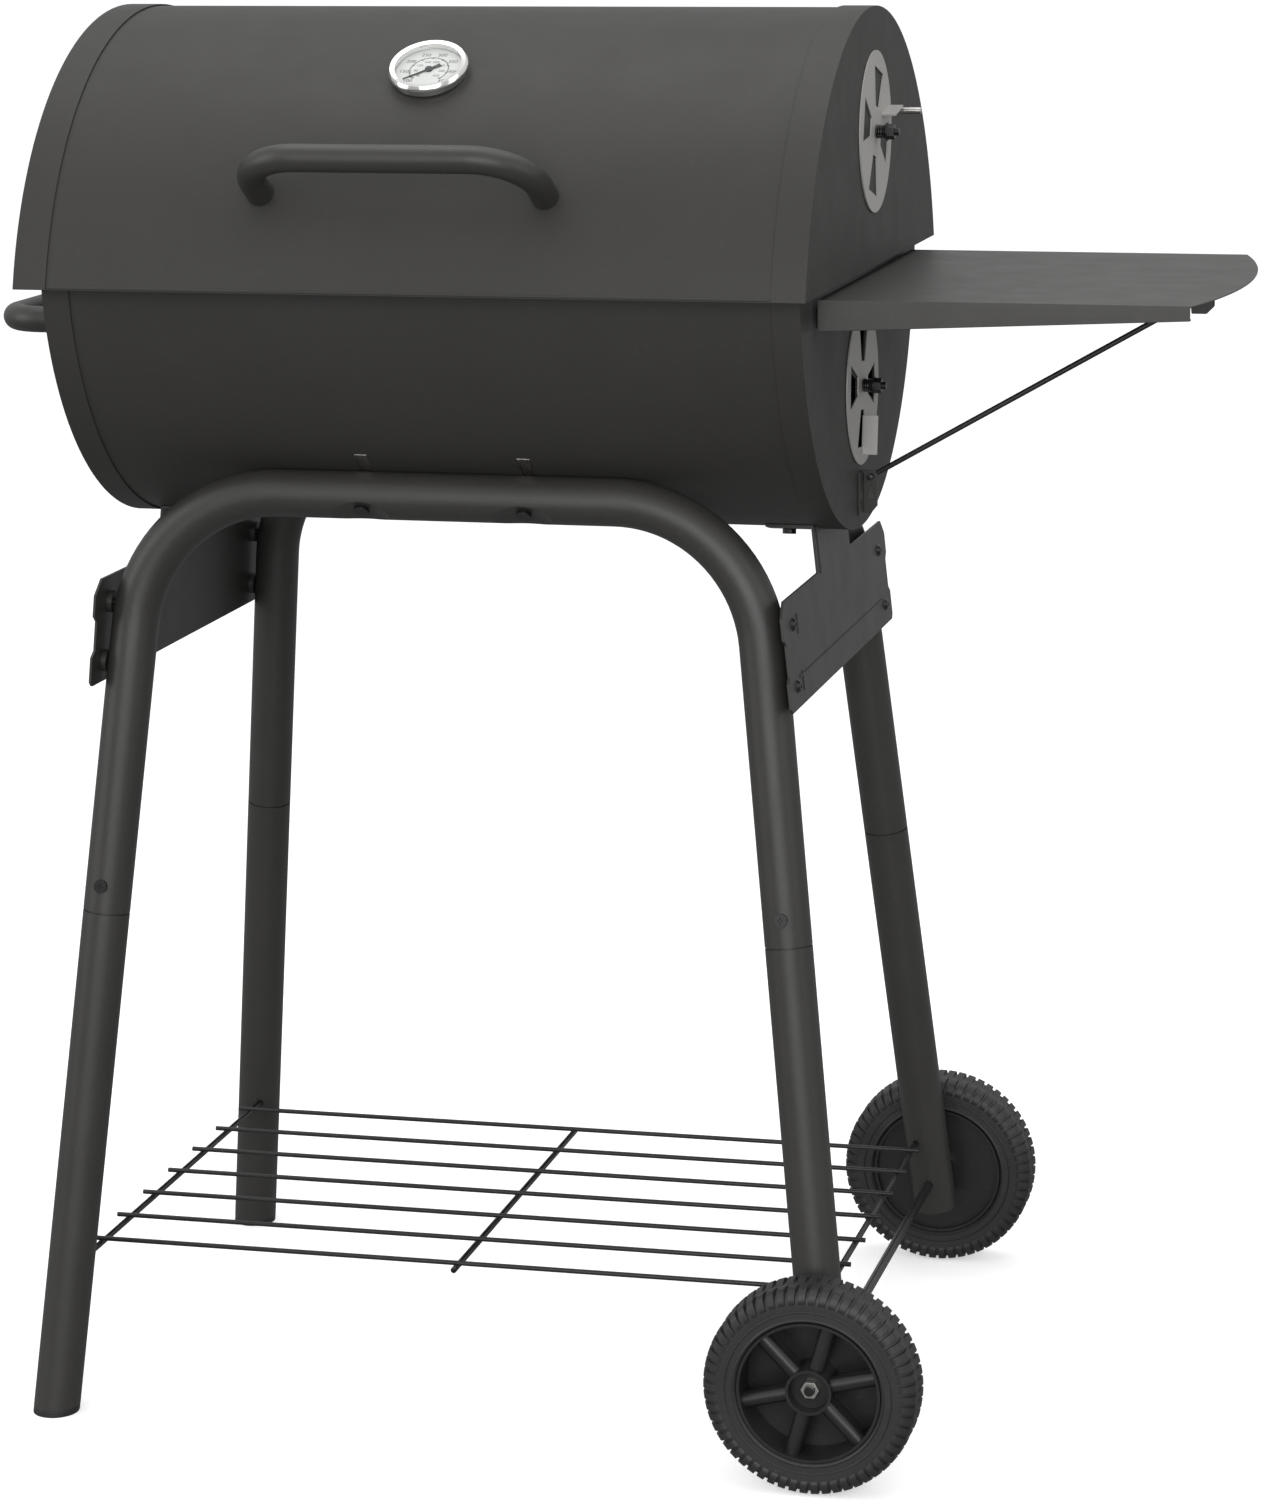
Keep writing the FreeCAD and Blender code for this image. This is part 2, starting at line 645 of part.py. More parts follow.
def charcoal_grate():
    """Welded bar grate that carries the fire."""
    bars = []
    for i in range(COAL_BARS):
        x = -COAL_X + 2 * COAL_X * i / (COAL_BARS - 1)
        bars.append(rod((x, -COAL_Y, COAL_Z), (x, COAL_Y, COAL_Z), GRATE_BAR_R))
    for y in (-COAL_CROSS_Y, -COAL_CROSS_Y / 2, 0.0, COAL_CROSS_Y / 2, COAL_CROSS_Y):
        bars.append(rod((-COAL_X - 3, y, COAL_Z - GRATE_BAR_R), (COAL_X + 3, y, COAL_Z - GRATE_BAR_R),
                        GRATE_BAR_R))
    return fuse(bars)


def side_handle_hole(side_y):
    y = side_y * SIDE_HANDLE_HALF
    return rod((-BARREL_HALF - 5, y, SIDE_HANDLE_Z), (-BARREL_HALF + 5, y, SIDE_HANDLE_Z), BOLT_R + 0.2)


def threaded_foot(at, way):
    """Disc with a threaded hole that closes a handle tube's end."""
    return ring(at, way, HANDLE_R - HANDLE_WALL / 2, NUT_BORE_R, 8.0)


def side_handle():
    y = SIDE_HANDLE_HALF
    root = -BARREL_HALF - 0.1
    points = [(root, -y, SIDE_HANDLE_Z), (SIDE_HANDLE_X, -y, SIDE_HANDLE_Z),
              (SIDE_HANDLE_X, y, SIDE_HANDLE_Z), (root, y, SIDE_HANDLE_Z)]
    tube = bent_tube(points, SIDE_HANDLE_BEND, HANDLE_R, HANDLE_WALL)
    for side_y in SIDES:
        tube = tube.fuse(threaded_foot(Vec(root, side_y * y, SIDE_HANDLE_Z), AXIS_X * -1))
    return tube


def side_handle_screw(side_y):
    at = Vec(-BARREL_HALF + SHEET + 0.1, side_y * SIDE_HANDLE_HALF, SIDE_HANDLE_Z)
    shank = Part.makeCylinder(BOLT_R, 10.0, at, AXIS_X * -1)
    return shank.fuse(hexagon(at, AXIS_X, 10.0, 4.0))


# ---------------------------------------------------------------- lid
def lid_point(deg, radius, x=0.0):
    """Point round the front of the lid, deg above the horizontal through the lid's axis."""
    a = math.radians(deg)
    return Vec(x, -radius * math.cos(a), LID_Z + radius * math.sin(a))


def lid_out(deg):
    a = math.radians(deg)
    return Vec(0, -math.cos(a), math.sin(a))


def lid_shell():
    end = LID_HALF - SHEET
    skin = drum(LID_SKIN_R, LID_Z, -end, end).cut(drum(LID_SKIN_R - SHEET, LID_Z, -end, end))
    skin = skin.cut(below(SEAM_Z))
    for side in SIDES:
        start = lid_point(LID_HANDLE_DEG, LID_SKIN_R - 10, LID_HANDLE_X + side * LID_HANDLE_HALF)
        skin = skin.cut(Part.makeCylinder(BOLT_R + 0.2, 20, start, lid_out(LID_HANDLE_DEG)))
    stem = Part.makeCylinder(STEM_R + 0.3, 20, lid_point(THERMO_DEG, LID_SKIN_R - 10, THERMO_X),
                             lid_out(THERMO_DEG))
    return skin.cut(stem)


def lid_cap(side_x):
    """End of the lid with its flange round the skin."""
    out = side_x * LID_HALF
    face_in = side_x * (LID_HALF - SHEET)
    band_in = side_x * (LID_HALF - LID_BAND)
    disc = drum(LID_R, LID_Z, min(band_in, out), max(band_in, out))
    hollow = drum(LID_R - SHEET, LID_Z, min(band_in, face_in), max(band_in, face_in))
    cap = disc.cut(hollow).cut(below(SEAM_Z))
    if side_x > 0:
        for slot in wedge_slots(LID_FACE - 5, LID_FACE + 5, LID_DAMPER_Z, LID_DAMPER_DEG + 45.0):
            cap = cap.cut(slot)
        cap = cap.cut(rod((LID_FACE - 5, 0, LID_DAMPER_Z), (LID_FACE + 5, 0, LID_DAMPER_Z),
                          DAMPER_BOLT_R + 0.05))
    return cap


def lid_handle():
    """Bent tube handle; its feet are cut to the curve of the lid."""
    way = lid_out(LID_HANDLE_DEG)
    points = []
    for side in SIDES:
        foot = lid_point(LID_HANDLE_DEG, LID_SKIN_R - 12, LID_HANDLE_X + side * LID_HANDLE_HALF)
        corner = lid_point(LID_HANDLE_DEG, LID_SKIN_R + LID_HANDLE_OUT, LID_HANDLE_X + side * LID_HANDLE_HALF)
        points += [foot, corner] if side < 0 else [corner, foot]
    tube = bent_tube(points, LID_HANDLE_BEND, HANDLE_R, HANDLE_WALL)
    for side in SIDES:
        foot = lid_point(LID_HANDLE_DEG, LID_SKIN_R - 6, LID_HANDLE_X + side * LID_HANDLE_HALF)
        tube = tube.fuse(ring(foot, way, HANDLE_R - HANDLE_WALL / 2, NUT_BORE_R, 16.0))
    return tube.cut(drum(LID_SKIN_R + 0.1, LID_Z, -200, 200))


def lid_handle_screw(side):
    way = lid_out(LID_HANDLE_DEG)
    at = lid_point(LID_HANDLE_DEG, LID_SKIN_R - SHEET - 0.6, LID_HANDLE_X + side * LID_HANDLE_HALF)
    shank = Part.makeCylinder(BOLT_R, 11.0, at, way)
    return shank.fuse(hexagon(at, way * -1, 10.0, 4.0))


# ---------------------------------------------------------------- lid hinges
def hinge_bracket(x):
    """Bent arm from the firebox rear that holds the hinge pin."""
    t = 2.5
    x0 = x - t / 2
    top = SEAM_Z - 1.1
    arm = box((x0, SKIN_R - 6, top - 20), (x0 + t, HINGE_Y, top))
    eye = Part.makeCylinder(HINGE_KNUCKLE_R, t, Vec(x0, HINGE_Y, HINGE_Z), AXIS_X)
    foot = box((x - 18, SKIN_R - 12, top - 26), (x + 18, SKIN_R + 2.2, top))
    foot = foot.common(drum(SKIN_R + 2.1, BARREL_Z, -BIG / 2, BIG / 2))
    bracket = arm.fuse(eye).fuse(foot).cut(drum(SKIN_R + 0.1, BARREL_Z, -BIG / 2, BIG / 2))
    pin = rod((x - 20, HINGE_Y, HINGE_Z), (x + 20, HINGE_Y, HINGE_Z), HINGE_PIN_R)
    return bracket.cut(pin).removeSplitter()


def hinge_leaf(x):
    """Two ears on the lid's rear that straddle the firebox bracket."""
    t = 2.0
    pieces = []
    plate = box((x - 18, 200, SEAM_Z + 3), (x + 18, 290, SEAM_Z + 32))
    plate = plate.common(drum(LID_SKIN_R + 2.1, LID_Z, -BIG / 2, BIG / 2))
    pieces.append(plate)
    for side in SIDES:
        x0 = x + side * 5.0 - t / 2
        eye = Part.makeCylinder(HINGE_KNUCKLE_R, t, Vec(x0, HINGE_Y, HINGE_Z), AXIS_X)
        ear_points = [Vec(x0, HINGE_Y - 3, HINGE_Z + 4.5), Vec(x0, HINGE_Y + 5.3, HINGE_Z + 1),
                      Vec(x0, HINGE_Y + 2, SEAM_Z + 30), Vec(x0, HINGE_Y - 30, SEAM_Z + 30),
                      Vec(x0, HINGE_Y - 6.2, SEAM_Z + 3.5)]
        ear = Part.Face(Part.makePolygon(ear_points + [ear_points[0]])).extrude(Vec(t, 0, 0))
        pieces.append(eye.fuse(ear))
    leaf = fuse(pieces).cut(drum(LID_SKIN_R + 0.1, LID_Z, -BIG / 2, BIG / 2))
    bore = rod((x - 20, HINGE_Y, HINGE_Z), (x + 20, HINGE_Y, HINGE_Z), HINGE_PIN_R + RUNNING)
    return leaf.cut(bore)


def hinge_pin(x):
    shank = rod((x - 9, HINGE_Y, HINGE_Z), (x + 9, HINGE_Y, HINGE_Z), HINGE_PIN_R)
    for side in SIDES:
        x0 = x + side * 9.0
        shank = shank.fuse(rod((x0, HINGE_Y, HINGE_Z), (x0 + side * 1.8, HINGE_Y, HINGE_Z), 4.6))
    return shank


# ---------------------------------------------------------------- dampers
def damper_disc(face, z, turn, tab_deg):
    """Slotted disc with a bent-out thumb tab."""
    x0 = face + RUN_GAP
    disc = rod((x0, 0, z), (x0 + DAMPER_T, 0, z), DAMPER_R)
    for slot in wedge_slots(x0 - 1, x0 + DAMPER_T + 1, z, turn):
        disc = disc.cut(slot)
    tab = box((x0, 24, 7.0), (x0 + 13.0, 56, 7.0 + DAMPER_T))
    tab.rotate(Vec(0, 0, 0), AXIS_X, tab_deg)
    tab.translate(Vec(0, 0, z))
    disc = disc.fuse(tab)
    bore = rod((x0 - 1, 0, z), (x0 + 5, 0, z), DAMPER_BOLT_R + RUNNING)
    return disc.cut(bore).removeSplitter()


def damper_pin(face, z, tab_deg):
    """Plated pin riveted to the damper disc beside the tab, used as its handle."""
    a = math.radians(tab_deg)
    radius = 58.0
    height = 3.0
    y = radius * math.cos(a) - height * math.sin(a)
    up = radius * math.sin(a) + height * math.cos(a)
    start = face + RUN_GAP + DAMPER_T
    neck = rod((start, y, z + up), (start + 4, y, z + up), 1.9)
    return neck.fuse(rod((start + 4, y, z + up), (start + DAMPER_PIN_L, y, z + up), 2.7))


SPRING_L = 8.0


def damper_bolt(face, z):
    """Bolt with its head inside the cap."""
    head = rod((face - SHEET - 3.5, 0, z), (face - SHEET - 0.1, 0, z), 7.0)
    shank_end = face + RUN_GAP + DAMPER_T + SPRING_L + 11.0
    return head.fuse(rod((face - SHEET - 0.1, 0, z), (shank_end, 0, z), DAMPER_BOLT_R))


def damper_spring(face, z):
    """Envelope of the compression spring that presses the disc to the cap."""
    x0 = face + 2 * RUN_GAP + DAMPER_T
    return ring(Vec(x0, 0, z), AXIS_X, 5.6, 4.2, SPRING_L)


def damper_nut(face, z):
    x0 = face + 2 * RUN_GAP + DAMPER_T + SPRING_L + 0.1
    washer = ring(Vec(x0, 0, z), AXIS_X, 7.5, NUT_BORE_R, 1.4)
    nut = hexagon(Vec(x0 + 1.4, 0, z), AXIS_X, 11.0, 5.5, NUT_BORE_R)
    return washer.fuse(nut)


# ---------------------------------------------------------------- thermometer
STEM_R = 3.0
STEM_L = 58.0
THERMO_BASE = 0.3
DIAL_FLOOR = 2.5               # height of the dial's underside above the case's back
DIAL_T = 0.8
SPINDLE_R = 0.8
LENS_LOW = 7.6
LENS_T = 1.4


def on_lid(shape):
    """Lays a drawing made about +Z onto the thermometer's place on the lid."""
    out = lid_out(THERMO_DEG)
    up = AXIS_X.cross(out) * -1
    place = FreeCAD.Placement(lid_point(THERMO_DEG, LID_SKIN_R + THERMO_BASE, THERMO_X),
                              FreeCAD.Rotation(AXIS_X, up, out, "ZXY"))
    moved = shape.copy()
    moved.Placement = place.multiply(moved.Placement)
    return moved


def thermometer_case():
    """Plated case with a sloping bezel; the dial and the lens sit inside it."""
    bezel_flat = 2.0
    points = [Vec(0, 0, 0), Vec(THERMO_R - 2.5, 0, 0), Vec(THERMO_R - 2.5, 0, 4.0),
              Vec(THERMO_R, 0, 6.0), Vec(THERMO_R, 0, 7.0), Vec(THERMO_R - bezel_flat, 0, THERMO_H),
              Vec(DIAL_R - 0.5, 0, LENS_LOW + LENS_T + 0.1), Vec(DIAL_R - 0.5, 0, LENS_LOW + LENS_T),
              Vec(DIAL_R + 0.3, 0, LENS_LOW + LENS_T), Vec(DIAL_R + 0.3, 0, DIAL_FLOOR),
              Vec(0, 0, DIAL_FLOOR), Vec(0, 0, 0)]
    case = Part.Face(Part.makePolygon(points)).revolve(Vec(0, 0, 0), AXIS_Z, 360)
    stem = Part.makeCylinder(STEM_R, STEM_L, Vec(0, 0, -STEM_L), AXIS_Z)
    case = case.fuse(stem)
    case = case.cut(Part.makeCylinder(SPINDLE_R + 0.6, 20, Vec(0, 0, -16), AXIS_Z))
    return on_lid(case)


def thermometer_dial():
    dial = Part.makeCylinder(DIAL_R, DIAL_T, Vec(0, 0, DIAL_FLOOR), AXIS_Z)
    return on_lid(dial.cut(Part.makeCylinder(SPINDLE_R + RUNNING, 5, Vec(0, 0, 0), AXIS_Z)))


def thermometer_lens():
    return on_lid(Part.makeCylinder(DIAL_R + 0.2, LENS_T, Vec(0, 0, LENS_LOW), AXIS_Z))


def thermometer_needle():
    """Pointer with a wide tail on the spindle."""
    low = DIAL_FLOOR + DIAL_T + 0.5
    t = 0.6
    spindle = Part.makeCylinder(SPINDLE_R, low + 1.2 - 1.0, Vec(0, 0, 1.0), AXIS_Z)
    hub = Part.makeCylinder(3.0, 1.2, Vec(0, 0, low), AXIS_Z)
    outline = [(-10, -1.8), (-2, -1.0), (22, -0.35), (22, 0.35), (-2, 1.0), (-10, 1.8)]
    corners = [Vec(x, y, low) for x, y in outline]
    blade = Part.Face(Part.makePolygon(corners + [corners[0]])).extrude(Vec(0, 0, t))
    needle = fuse([spindle, hub, blade])
    needle.rotate(Vec(0, 0, 0), AXIS_Z, NEEDLE_DEG)
    return on_lid(needle)


def thermometer_nut():
    depth = THERMO_BASE + SHEET + 0.6
    nut = hexagon(Vec(0, 0, -depth - 5.0), AXIS_Z, 12.0, 5.0, STEM_R + 0.02)
    return on_lid(nut)


# ---------------------------------------------------------------- wheels
def wheel_place(side_y, y_from_inside):
    return Vec(AXLE_X, side_y * (WHEEL_IN_Y + y_from_inside), AXLE_Z)


def tyre(side_y):
    """Solid tyre with rounded shoulders."""
    outer = ring(wheel_place(side_y, 0), AXIS_Y * side_y, WHEEL_R, TYRE_BORE_R, WHEEL_W)
    edges = []
    for edge in outer.Edges:
        if abs(edge.Curve.Radius - WHEEL_R) < 0.01 if hasattr(edge.Curve, "Radius") else False:
            edges.append(edge)
    return outer.makeFillet(9.0, edges)


def rim(side_y):
    """Moulded wheel: rim ring, back web, six round spokes and a hub with a nut cup."""
    way = AXIS_Y * side_y
    ring_in = TYRE_BORE_R - 2.4
    parts = [ring(wheel_place(side_y, 2), way, TYRE_BORE_R - 0.1, ring_in, WHEEL_W - 4)]
    parts.append(Part.makeCylinder(ring_in + 1, 3.0, wheel_place(side_y, 8), way))
    parts.append(Part.makeCylinder(18.5, WHEEL_W - 3, wheel_place(side_y, 0), way))
    spoke_y = WHEEL_W - 14.0
    for i in range(6):
        a = math.radians(60.0 * i + SPOKE_DEG)
        start = wheel_place(side_y, spoke_y) + Vec(math.cos(a), 0, math.sin(a)) * 12
        end = wheel_place(side_y, spoke_y) + Vec(math.cos(a), 0, math.sin(a)) * (ring_in + 1)
        parts.append(rod(start, end, 6.6))
        rib = box((12, -2.0, 0), (ring_in + 1, 2.0, spoke_y - 9))
        rib.Placement = FreeCAD.Placement(
            wheel_place(side_y, 9),
            FreeCAD.Rotation(Vec(math.cos(a), 0, math.sin(a)), Vec(0, 0, 0), way, "ZXY"))
        parts.append(rib)
    body = fuse(parts)
    body = body.cut(Part.makeCylinder(16.2, HUB_CUP + 5, wheel_place(side_y, WHEEL_W - HUB_CUP), way))
    return body.cut(axle_hole(AXLE_R + RUNNING)).removeSplitter()


# ---------------------------------------------------------------- side table
def table_top():
    """Folded sheet with tapered aprons along its front and rear and a bowed free end."""
    bulge = Part.Arc(Vec(TABLE_X1, -TABLE_Y, 0), Vec(TABLE_END_X, 0, 0), Vec(TABLE_X1, TABLE_Y, 0))
    edges = [Part.LineSegment(Vec(TABLE_X0, -TABLE_Y, 0), Vec(TABLE_X1, -TABLE_Y, 0)).toShape(),
             bulge.toShape(),
             Part.LineSegment(Vec(TABLE_X1, TABLE_Y, 0), Vec(TABLE_X0, TABLE_Y, 0)).toShape(),
             Part.LineSegment(Vec(TABLE_X0, TABLE_Y, 0), Vec(TABLE_X0, -TABLE_Y, 0)).toShape()]
    sheet = Part.Face(Part.Wire(edges)).extrude(Vec(0, 0, SHEET))
    sheet.translate(Vec(0, 0, TABLE_Z - SHEET))
    parts = [sheet]
    for side_y in SIDES:
        y0 = side_y * TABLE_Y
        corners = [Vec(TABLE_X0, y0, TABLE_Z), Vec(TABLE_X1 - 1, y0, TABLE_Z),
                   Vec(TABLE_X1 - 1, y0, TABLE_Z - APRON_OUT), Vec(TABLE_X0, y0, TABLE_Z - APRON_IN)]
        apron = Part.Face(Part.makePolygon(corners + [corners[0]])).extrude(Vec(0, -side_y * SHEET, 0))
        parts.append(apron)
        hem_points = [Vec(TABLE_X0, y0, TABLE_Z - APRON_IN),
                      Vec(TABLE_X1 - 1, y0, TABLE_Z - APRON_OUT),
                      Vec(TABLE_X1 - 1, y0, TABLE_Z - APRON_OUT + SHEET),
                      Vec(TABLE_X0, y0, TABLE_Z - APRON_IN + SHEET)]
        hem = Part.Face(Part.makePolygon(hem_points + [hem_points[0]])).extrude(Vec(0, -side_y * 7.0, 0))
        parts.append(hem)
    return fuse(parts)


def table_ear(y):
    """Hinge ear under the table's inner end."""
    px, pz = TABLE_PIVOT
    t = 2.0
    low = TABLE_Z - SHEET
    eye = Part.makeCylinder(5.0, t, Vec(px, y - t / 2, pz), AXIS_Y)
    web = box((px - 5, y - t / 2, pz), (px + 5, y + t / 2, low))
    flange = box((px - 5, y - t / 2, low - t), (px + 30, y + 15, low))
    ear = fuse([eye, web, flange])
    return ear.cut(rod((px, y - 20, pz), (px, y + 20, pz), TABLE_PIN_R + RUNNING))


def table_bracket(y):
    """Angle on the firebox end that holds a table hinge pin, beside the table's ear."""
    px, pz = TABLE_PIVOT
    t = 2.0
    y0 = y - 4.5
    foot = box((FIRE_FACE + 0.1, y0 - 18, pz - 7), (FIRE_FACE + 0.1 + t, y0 + t, pz + 9))
    arm = box((FIRE_FACE + 0.1, y0, pz - 5), (px, y0 + t, pz + 5))
    eye = Part.makeCylinder(5.0, t, Vec(px, y0, pz), AXIS_Y)
    bracket = fuse([foot, arm, eye])
    return bracket.cut(rod((px, y - 20, pz), (px, y + 20, pz), TABLE_PIN_R))


def table_pin(y):
    px, pz = TABLE_PIVOT
    shank = rod((px, y - 6.5, pz), (px, y + 2.5, pz), TABLE_PIN_R)
    heads = [rod((px, y - 6.5, pz), (px, y - 5.0, pz), 3.4), rod((px, y + 2.5, pz), (px, y + 4.0, pz), 3.4)]
    return fuse([shank] + heads)


def rod_catch():
    """Pressed clip under the table that keeps the top of the support rod."""
    x, z = ROD_TOP
    low = TABLE_Z - SHEET
    t = 1.5
    parts = [box((x - 14, -12, low - t), (x + 14, 12 + ROD_Y, low))]
    for y0 in (ROD_Y - 5.5 - t, ROD_Y + 5.5):
        points = [Vec(x - 6, y0, low), Vec(x + 14, y0, low), Vec(x + 14, y0, z - 7),
                  Vec(x + 9, y0, z - 12), Vec(x - 3, y0, z - 12)]
        cheek = Part.Face(Part.makePolygon(points + [points[0]])).extrude(Vec(0, t, 0))
        parts.append(cheek)
    return fuse(parts)


def support_rod():
    """Bent wire prop: a hook in the firebox bracket below and a cross end under the table."""
    px, pz = ROD_PIVOT
    tx, tz = ROD_TOP
    points = [(px, ROD_Y - 12, pz), (px, ROD_Y, pz), (tx, ROD_Y, tz)]
    return bent_bar(points, 4.5, ROD_R)


def rod_bracket():
    """Angle on the firebox end with a hole for the rod and a triangular cut-out."""
    px, pz = ROD_PIVOT
    t = 2.0
    face = FIRE_FACE + 0.1
    y1 = ROD_Y - ROD_R - 1.2
    foot = box((face, y1 - 18, pz - 30), (face + t, y1, pz + 5))
    corners = [Vec(face, y1, pz + 5), Vec(px + 2, y1, pz + 5), Vec(px + 5, y1, pz + 2),
               Vec(px + 5, y1, pz - 24), Vec(px, y1, pz - 30), Vec(face, y1, pz - 30)]
    tab = Part.Face(Part.makePolygon(corners + [corners[0]])).extrude(Vec(0, -t, 0))
    cut = [Vec(px, y1 + 1, pz - 7), Vec(px + 2.6, y1 + 1, pz - 19), Vec(px - 3.2, y1 + 1, pz - 19)]
    window = Part.Face(Part.makePolygon(cut + [cut[0]])).extrude(Vec(0, -t - 2, 0))
    bracket = foot.fuse(tab).cut(window)
    return bracket.cut(rod((px, -30, pz), (px, 30, pz), ROD_R + RUNNING))


# ---------------------------------------------------------------- hinge fasteners
# ---------------------------------------------------------------- build
def build_stand():
    for name, side_y in (("front", -1), ("rear", 1)):
        save(name + "_frame_tube", frame_tube(side_y))
        for side, side_x in (("left", -1), ("right", 1)):
            save(name + "_" + side + "_leg", leg(side_x, side_y))
    save("foot_plugs", foot_plug(-1), foot_plug(1))
    save("leg_screws", *[leg_screw(a, b) for a in SIDES for b in SIDES])
    save("left_end_plate", end_plate(-1))
    save("right_end_plate", end_plate(1))
    save("end_plate_bolts", *(plate_bolts(-1) + plate_bolts(1)))
    bolts = [mount_bolt(a, b) for a in SIDES for b in SIDES]
    straps = [strap_bolt(a, b) for a in SIDES for b in SIDES]
    save("barrel_mount_bolts", *([b[0] for b in bolts] + [b[0] for b in straps]))
    save("barrel_mount_nuts", *([b[1] for b in bolts] + [b[1] for b in straps]))
    save("saddle_washers", *[saddle_washer(a, b) for a in SIDES for b in SIDES])
    save("wire_shelf", wire_shelf())
    save("axle", axle())
    save("axle_nuts", axle_nut(-1), axle_nut(1))


def build_firebox():
    save("firebox_shell", firebox_shell())
    save("firebox_left_cap", firebox_cap(-1))
    save("firebox_right_cap", firebox_cap(1))
    save("cooking_grate_rails", grate_rail(-1, GRATE_Z - 2 * GRATE_BAR_R - RUN_GAP),
         grate_rail(1, GRATE_Z - 2 * GRATE_BAR_R - RUN_GAP))
    save("charcoal_grate_rails", grate_rail(-1, COAL_Z - 2 * GRATE_BAR_R - RUN_GAP),
         grate_rail(1, COAL_Z - 2 * GRATE_BAR_R - RUN_GAP))
    save("left_cooking_grate", cooking_grate(-1))
    save("right_cooking_grate", cooking_grate(1))
    save("charcoal_grate", charcoal_grate())
    save("side_handle", side_handle())
    save("side_handle_screws", side_handle_screw(-1), side_handle_screw(1))
    save("hinge_brackets", *[hinge_bracket(x) for x in HINGE_X])
    save("hinge_pins", *[hinge_pin(x) for x in HINGE_X])


def build_lid():
    save("lid_shell", lid_shell())
    save("lid_left_cap", lid_cap(-1))
    save("lid_right_cap", lid_cap(1))
    save("lid_handle", lid_handle())
    save("lid_handle_screws", lid_handle_screw(-1), lid_handle_screw(1))
    save("hinge_leaves", *[hinge_leaf(x) for x in HINGE_X])
    save("thermometer_case", thermometer_case())
    save("thermometer_dial", thermometer_dial())
    save("thermometer_lens", thermometer_lens())
    save("thermometer_needle", thermometer_needle())
    save("thermometer_nut", thermometer_nut())


def build_dampers():
    save("lid_damper_pin", damper_pin(LID_FACE, LID_DAMPER_Z, LID_TAB_DEG))
    for name, face, z, turn, tab in (
            ("lid", LID_FACE, LID_DAMPER_Z, LID_DAMPER_DEG, LID_TAB_DEG),
            ("firebox", FIRE_FACE, FIRE_DAMPER_Z, FIRE_DAMPER_DEG, FIRE_TAB_DEG)):
        save(name + "_damper_disc", damper_disc(face, z, turn, tab))
        save(name + "_damper_bolt", damper_bolt(face, z))
        save(name + "_damper_spring", damper_spring(face, z))
        save(name + "_damper_nut", damper_nut(face, z))


def build_wheels():
    for name, side_y in (("front", -1), ("rear", 1)):
        save(name + "_wheel_tyre", tyre(side_y))
        save(name + "_wheel_rim", rim(side_y))


def build_table():
    save("side_table", table_top())
    save("table_hinge_ears", *[table_ear(y) for y in TABLE_PIVOT_Y])
    save("rod_catch", rod_catch())
    save("table_brackets", *[table_bracket(y) for y in TABLE_PIVOT_Y])
    save("table_hinge_pins", *[table_pin(y) for y in TABLE_PIVOT_Y])
    save("rod_bracket", rod_bracket())
    save("support_rod", support_rod())


os.makedirs("parts", exist_ok=True)
build_stand()
build_firebox()
build_lid()
build_dampers()
build_wheels()
build_table()
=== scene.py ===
import json
import math

import bmesh
import bpy
from mathutils import Matrix, Vector


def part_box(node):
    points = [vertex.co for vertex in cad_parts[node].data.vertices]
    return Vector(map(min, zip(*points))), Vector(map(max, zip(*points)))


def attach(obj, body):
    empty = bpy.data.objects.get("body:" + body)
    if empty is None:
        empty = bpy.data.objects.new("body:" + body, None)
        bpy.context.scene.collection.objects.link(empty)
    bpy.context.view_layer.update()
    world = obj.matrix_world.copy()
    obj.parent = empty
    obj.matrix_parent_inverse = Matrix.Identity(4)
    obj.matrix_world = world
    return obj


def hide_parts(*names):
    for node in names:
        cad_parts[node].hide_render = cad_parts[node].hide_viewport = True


MM = 0.001
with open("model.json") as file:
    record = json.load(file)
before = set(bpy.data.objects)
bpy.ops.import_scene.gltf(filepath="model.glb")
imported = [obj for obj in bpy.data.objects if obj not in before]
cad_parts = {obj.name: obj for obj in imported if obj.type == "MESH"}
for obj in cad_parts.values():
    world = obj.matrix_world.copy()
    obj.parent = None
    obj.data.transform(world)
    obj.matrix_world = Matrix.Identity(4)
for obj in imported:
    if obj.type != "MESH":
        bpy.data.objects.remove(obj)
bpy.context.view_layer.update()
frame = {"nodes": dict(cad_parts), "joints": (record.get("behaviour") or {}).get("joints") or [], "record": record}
record = frame["record"]
nodes = frame["nodes"]
slot_of = {s["node"]: s["material_slot"] for s in record["subparts"]}
joint = {j["name"]: j for j in frame["joints"]}


# ---------------------------------------------------------------- materials
def node_tree(name):
    mat = bpy.data.materials.new(name)
    mat.use_nodes = True
    tree = mat.node_tree
    shader = tree.nodes["Principled BSDF"]
    return mat, tree, shader


def noise(tree, scale, detail=4.0, rough=0.55, stretch=(1, 1, 1)):
    """Noise over the object's own coordinates, in metres."""
    where = tree.nodes.new("ShaderNodeTexCoord")
    mapping = tree.nodes.new("ShaderNodeMapping")
    mapping.inputs["Scale"].default_value = stretch
    tex = tree.nodes.new("ShaderNodeTexNoise")
    tex.inputs["Scale"].default_value = scale
    tex.inputs["Detail"].default_value = detail
    tex.inputs["Roughness"].default_value = rough
    tree.links.new(where.outputs["Object"], mapping.inputs["Vector"])
    tree.links.new(mapping.outputs["Vector"], tex.inputs["Vector"])
    return tex.outputs["Fac"]


def spread(tree, value, low, high, from_low=0.3, from_high=0.7):
    """Maps a noise value to a range."""
    node = tree.nodes.new("ShaderNodeMapRange")
    node.inputs["From Min"].default_value = from_low
    node.inputs["From Max"].default_value = from_high
    node.inputs["To Min"].default_value = low
    node.inputs["To Max"].default_value = high
    tree.links.new(value, node.inputs["Value"])
    return node.outputs["Result"]


